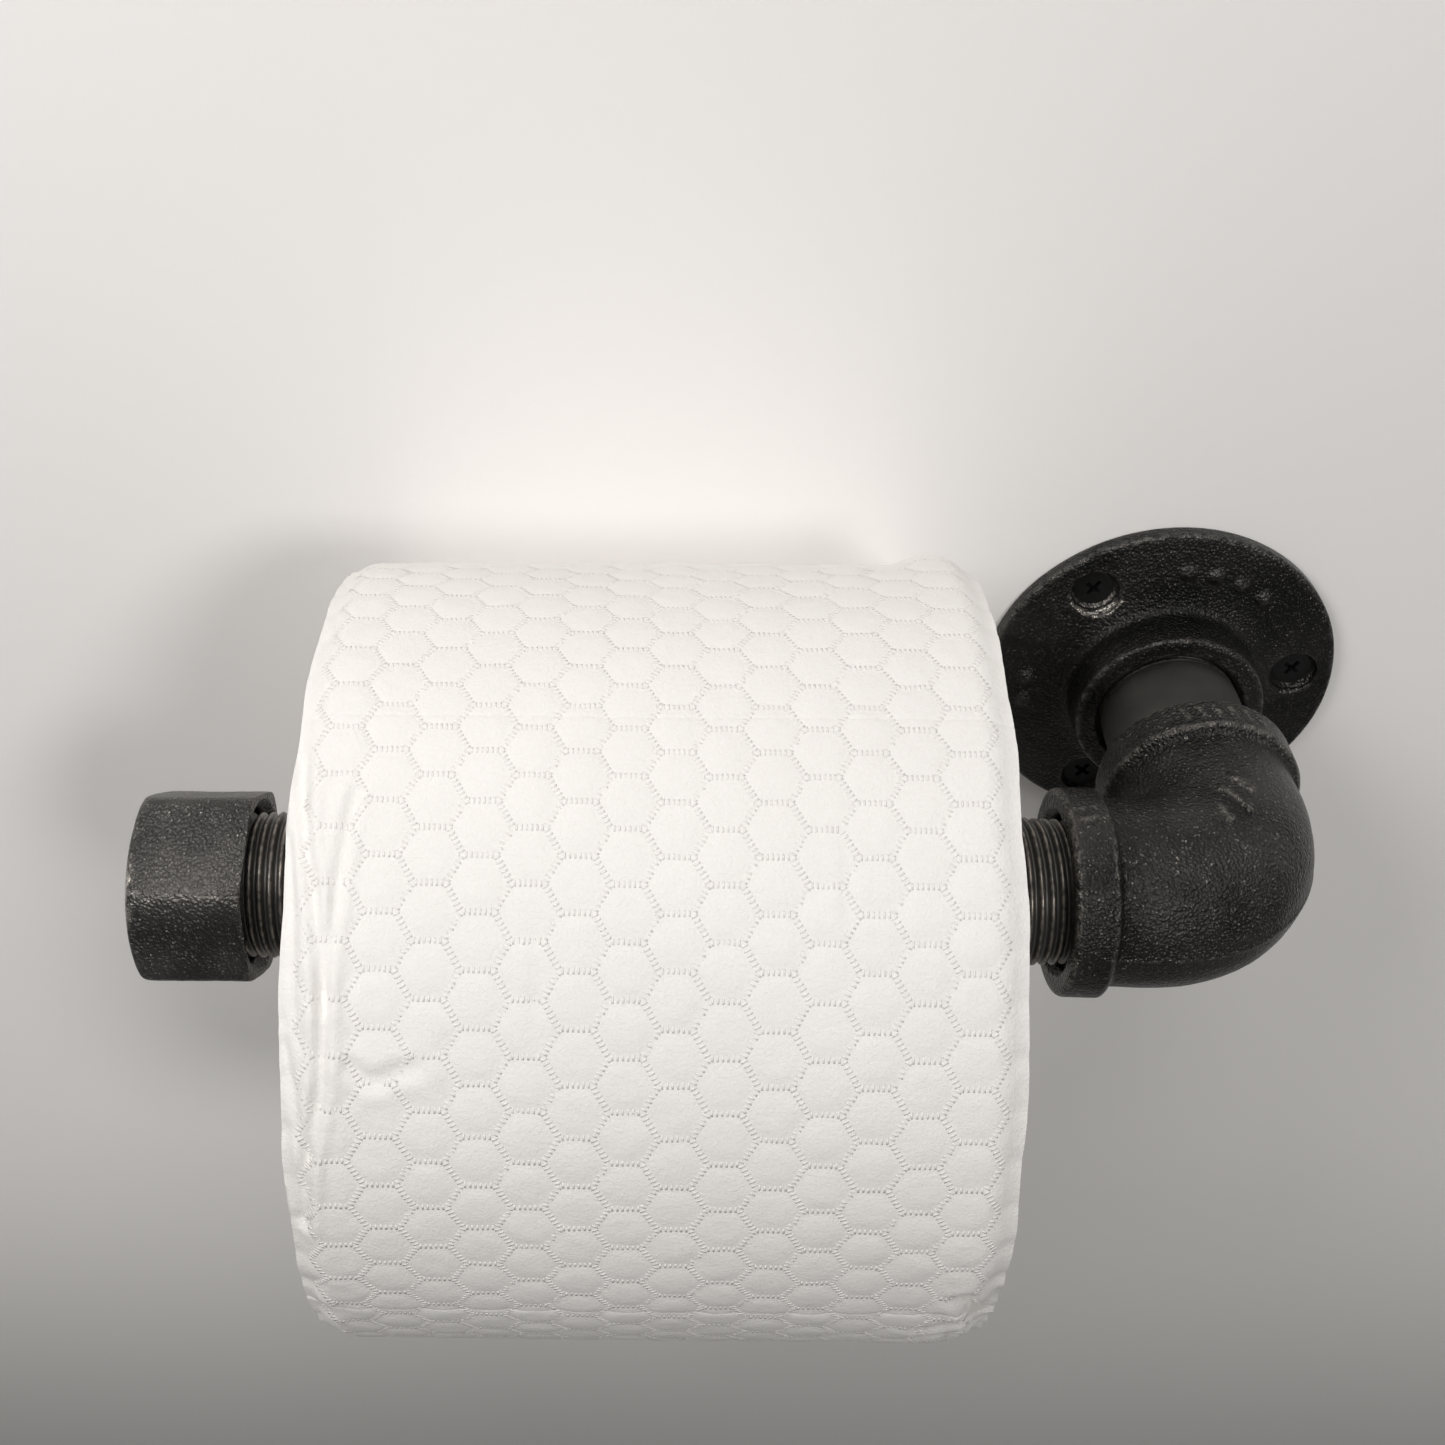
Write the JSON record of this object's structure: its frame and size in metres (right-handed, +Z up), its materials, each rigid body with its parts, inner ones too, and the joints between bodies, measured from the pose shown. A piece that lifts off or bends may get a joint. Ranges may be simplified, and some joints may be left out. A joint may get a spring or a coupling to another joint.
{
  "type": "toilet paper holder",
  "caption": "Wall-mounted pipe-fitting toilet paper holder: round flange, standoff pipe, elbow and capped arm that carries a paper roll.",
  "frame": {"origin": "centre of the flange's back face, on the wall", "axes": "+Y into the wall along the flange's axis, +Z up, the arm runs towards -X"},
  "size_m": [0.2267, 0.1676, 0.1312],
  "materials": {
    "cast_iron_black": "rough sand-cast iron with a thin semi-gloss black coat, lighter on worn edges",
    "pipe_black": "smooth satin black pipe with a faint brown sheen on the threads",
    "screw_black": "satin black",
    "plug_nylon": "plain moulded nylon",
    "core_board": "spiral-wound grey-brown board",
    "tissue_paper": "soft off-white tissue with an embossed cell pattern"
  },
  "bodies": {
    "holder": {"wall_flange": "cast_iron_black", "wall_screw_1": "screw_black", "wall_screw_2": "screw_black", "wall_screw_3": "screw_black", "wall_plug_1": "plug_nylon", "wall_plug_2": "plug_nylon", "wall_plug_3": "plug_nylon", "standoff_pipe": "pipe_black", "elbow": "cast_iron_black", "arm_pipe": "pipe_black"},
    "cap": {"end_cap": "cast_iron_black"},
    "core": {"roll_core": "core_board"},
    "roll": {"paper_roll": "tissue_paper"}
  },
  "joints": [
    {"name": "cap_unscrew", "type": "hinge", "parent": "holder", "child": "cap", "pos_m": [-0.181, -0.064, 0], "axis": [-1, 0, 0], "range_deg": [0, 2490]},
    {"name": "roll_slide", "type": "slide", "parent": "holder", "child": "core", "axis": [1, 0, 0], "range_m": [-0.0155, 0.0135]},
    {"name": "roll_spin", "type": "hinge", "parent": "core", "child": "roll", "pos_m": [-0.10205, -0.06808, -0.00875], "axis": [1, 0, 0], "continuous": true}
  ]
}
